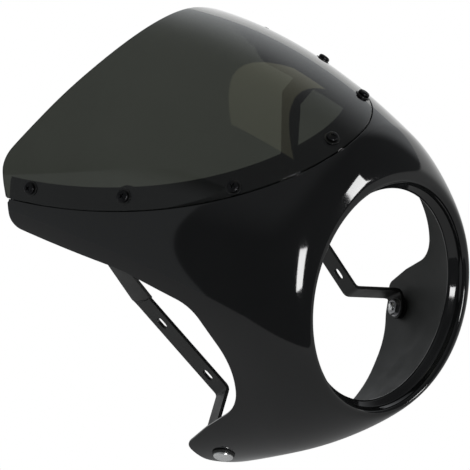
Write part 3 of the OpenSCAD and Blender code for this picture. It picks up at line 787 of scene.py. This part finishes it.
def make_ear_bolts(zinc):
    """Bolt, grommet, washer and nut that hold a strap's tab at each ear."""
    bright = metal("polished_steel", (0.86, 0.86, 0.86), (0.93, 0.93, 0.92), 0.24, 220)
    rubber = moulded("rubber", (0.008, 0.008, 0.008), (0.014, 0.014, 0.013), 0.62, 900)
    y = float(EAR_BOLT[0])
    a = float(angle_at(*EAR_BOLT))
    low = EAR_FACE + GROMMET_OUT
    tab = EAR_BACK - GROMMET_IN
    washer_top = tab - STRAP_T
    nut_top = washer_top - BOLT_WASHER_T
    nut_end = nut_top - BOLT_NUT_H
    shaft = thread_profile(BOLT_R, nut_end - THREAD_OUT, nut_top, 1.0) + [(BOLT_R, low)]
    bolt = lathe("ear_bolt", shaft + dome_profile(BOLT_HEAD_R, low, BOLT_HEAD_H, BOLT_R, 1.6)[1:], 72)
    grommet = lathe("ear_grommet", grommet_profile(low, tab), 72)
    washer = washer_mesh("ear_washer", BOLT_HEAD_R, BOLT_R + 0.15, nut_top, washer_top, 0.2)
    nut = nut_mesh("ear_nut", BOLT_NUT_AF, BOLT_R + 0.05, nut_end, nut_top)
    parts = (("bolt", bolt, bright, "bolt_bright"), ("grommet", grommet, rubber, "grommet_rubber"),
             ("washer", washer, zinc, "nut_zinc"), ("nut", nut, zinc, "nut_zinc"))
    for side, label in ((-1, "right"), (1, "left")):
        at = stand(skin_p(a, y), skin_n(a, y), side)
        for kind, mesh, material, slot in parts:
            link(mesh, f"ear_{kind}_{label}", [material], [f"ear_{kind}s"] if side < 0 else (), at)


def dress_straps(nodes):
    """Powder coat and small rounds on the CAD's own strap meshes."""
    weld, round_off, sharpest = 0.02 * MM, 0.5 * MM, math.radians(45)
    coat = powder_coat()
    for name in ("strap_right", "strap_left"):
        strap = nodes[name]
        strap.data.materials.clear()
        strap.data.materials.append(coat)
        modifier(strap, "WELD", merge_threshold=weld)
        modifier(strap, "BEVEL", width=round_off, segments=3, limit_method="ANGLE", angle_limit=sharpest)
        weigh_normals(strap)
        for poly in strap.data.polygons:
            poly.use_smooth = True


# Stage
def hide_from_camera(thing):
    """Leaves a light or card to reflections alone."""
    thing.visible_camera = False
    thing.visible_transmission = False


def panel(name, at, aim, width, height, radiance, colour, roll):
    """Flat studio light of an even brightness."""
    light = bpy.data.lights.new(name, "AREA")
    light.shape = "RECTANGLE"
    light.size, light.size_y = width, height
    light.energy = radiance * math.pi * width * height
    light.color = colour
    lamp = bpy.data.objects.new(name, light)
    bpy.context.scene.collection.objects.link(lamp)
    lamp.location = at
    lamp.rotation_mode = "QUATERNION"
    turn = (Vector(aim) - Vector(at)).to_track_quat("-Z", "Y")
    lamp.rotation_quaternion = turn @ Quaternion((0, 0, 1), math.radians(roll))
    hide_from_camera(lamp)


def fade(nodes, links, source, over, values):
    """Smooth change between two values while source goes over its range."""
    r = nodes.new("ShaderNodeMapRange")
    r.interpolation_type = "SMOOTHSTEP"
    for socket, value in zip(("From Min", "From Max", "To Min", "To Max"), (*over, *values)):
        r.inputs[socket].default_value = value
    links.new(source, r.inputs["Value"])
    return r.outputs["Result"]


def coordinates(nodes, links, kind):
    """X, Y and Z outputs of a kind of texture coordinate."""
    where, split = nodes.new("ShaderNodeTexCoord"), nodes.new("ShaderNodeSeparateXYZ")
    links.new(where.outputs[kind], split.inputs[0])
    return split.outputs


def maths(nodes, links, operation, *sources):
    """Math node on two or three sources, each an output or, for the factor of MULTIPLY_ADD, a number."""
    node = nodes.new("ShaderNodeMath")
    node.operation = operation
    for socket, source in zip(node.inputs, sources):
        if isinstance(source, float):
            socket.default_value = source
        else:
            links.new(source, socket)
    return node.outputs[0]


def seen_directly(nodes, links):
    """One for rays from the camera and for rays that come through the windscreen, else zero."""
    path = nodes.new("ShaderNodeLightPath")
    return maths(nodes, links, "MAXIMUM", path.outputs["Is Camera Ray"], path.outputs["Is Transmission Ray"])


def make_world():
    """Dark room, a bright sweep behind the part and a faint glow overhead; plain white where seen directly."""
    world = bpy.data.worlds.new("studio")
    bpy.context.scene.world = world
    world.use_nodes = True
    nodes, links = world.node_tree.nodes, world.node_tree.links
    nodes.clear()
    out, mix = nodes.new("ShaderNodeOutputWorld"), nodes.new("ShaderNodeMixShader")
    white, room = nodes.new("ShaderNodeBackground"), nodes.new("ShaderNodeBackground")
    white.inputs["Color"].default_value = (*WHITE, 1)
    room.inputs["Color"].default_value = ROOM_COLOUR
    ray = coordinates(nodes, links, "Generated")
    behind = maths(nodes, links, "MULTIPLY_ADD", ray["X"], SWEEP_X_SHARE, ray["Y"])
    sweep = maths(nodes, links, "MULTIPLY", fade(nodes, links, behind, SWEEP_BEHIND, (0.0, 1.0)),
                  fade(nodes, links, ray["X"], SWEEP_ACROSS, SWEEP_GLOW))
    sweep = maths(nodes, links, "MULTIPLY", sweep, fade(nodes, links, ray["Z"], SWEEP_UP, (1.0, 0.0)))
    glow = maths(nodes, links, "ADD", sweep, fade(nodes, links, ray["Z"], OVERHEAD, ROOM_GLOW))
    links.new(glow, room.inputs["Strength"])
    links.new(seen_directly(nodes, links), mix.inputs["Fac"])
    links.new(room.outputs[0], mix.inputs[1])
    links.new(white.outputs[0], mix.inputs[2])
    links.new(mix.outputs[0], out.inputs["Surface"])


def make_floor():
    """White floor that glows more towards the back, and looks plain white to the camera."""
    bpy.ops.mesh.primitive_circle_add(vertices=96, radius=FLOOR_R, fill_type="NGON", location=FLOOR_AT)
    floor = bpy.context.object
    floor.name = "floor"
    m, nodes, links, s = new_material("floor_white")
    s.inputs["Base Color"].default_value = (0.85, 0.85, 0.85, 1)
    s.inputs["Roughness"].default_value = 0.9
    s.inputs["Emission Color"].default_value = (*WHITE, 1)
    where = coordinates(nodes, links, "Object")
    backwards = maths(nodes, links, "ADD", where["X"], where["Y"])
    links.new(fade(nodes, links, backwards, FLOOR_FADE, FLOOR_GLOW), s.inputs["Emission Strength"])
    lit, mix = nodes.new("ShaderNodeEmission"), nodes.new("ShaderNodeMixShader")
    links.new(seen_directly(nodes, links), mix.inputs["Fac"])
    links.new(s.outputs[0], mix.inputs[1])
    links.new(lit.outputs[0], mix.inputs[2])
    links.new(mix.outputs[0], nodes["Material Output"].inputs["Surface"])
    floor.data.materials.append(m)


def card(name, corners, glow, colour=WHITE, over=None):
    """Glowing card. Its glow is one number, or two that it fades between over a range of heights."""
    mesh = bpy.data.meshes.new(name)
    mesh.from_pydata(corners, [], [range(len(corners))])
    piece = bpy.data.objects.new(name, mesh)
    bpy.context.scene.collection.objects.link(piece)
    m, nodes, links, s = new_material(f"{name}_glow")
    nodes.remove(s)
    lit = nodes.new("ShaderNodeEmission")
    lit.inputs["Color"].default_value = (*colour, 1)
    if over is None:
        lit.inputs["Strength"].default_value = glow
    else:
        height = coordinates(nodes, links, "Object")["Z"]
        links.new(fade(nodes, links, height, over, glow), lit.inputs["Strength"])
    links.new(lit.outputs[0], nodes["Material Output"].inputs["Surface"])
    mesh.materials.append(m)
    hide_from_camera(piece)


def make_camera():
    data = bpy.data.cameras.new("camera")
    data.lens, data.sensor_width = CAMERA_LENS, CAMERA_SENSOR
    data.clip_start, data.clip_end = CAMERA_CLIP
    camera = bpy.data.objects.new("camera", data)
    camera.location = CAMERA_AT
    camera.rotation_euler = [math.radians(t) for t in CAMERA_TURN]
    bpy.context.scene.collection.objects.link(camera)
    bpy.context.scene.camera = camera


def make_stage():
    make_world()
    make_floor()
    wall = [(LEFT_WALL_X, y, z) for y, z in LEFT_WALL]
    card("left_wall", wall, LEFT_WALL_GLOW, (0.94, 0.98, 1.0), LEFT_WALL_FADE)
    card("strip_left", STRIP_LEFT, 20.0)
    panel("ceiling", CEILING_AT, aim=(*CEILING_AT[:2], 0), width=4.4, height=0.37, radiance=0.40,
          colour=(1.0, 0.98, 0.62), roll=21)
    panel("strip_right", STRIP_RIGHT_AT, aim=(0, -0.01, 0.1), width=0.2, height=0.52, radiance=16,
          colour=WHITE, roll=25)
    make_camera()
    bpy.context.scene.view_settings.view_transform = "Standard"


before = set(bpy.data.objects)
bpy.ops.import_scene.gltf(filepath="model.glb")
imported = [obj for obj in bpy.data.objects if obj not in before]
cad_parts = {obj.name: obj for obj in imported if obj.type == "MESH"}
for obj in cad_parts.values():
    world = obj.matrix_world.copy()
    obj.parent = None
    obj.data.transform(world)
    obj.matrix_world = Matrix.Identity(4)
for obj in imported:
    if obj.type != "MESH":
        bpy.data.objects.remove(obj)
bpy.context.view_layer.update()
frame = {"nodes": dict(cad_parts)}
make_stage()
make_shell()
make_windscreen()
zinc_plate = metal("zinc", (0.38, 0.38, 0.39), (0.55, 0.55, 0.56), 0.34, 300)
make_screen_screws(zinc_plate)
make_ear_bolts(zinc_plate)
dress_straps(frame["nodes"])
bpy.context.view_layer.update()
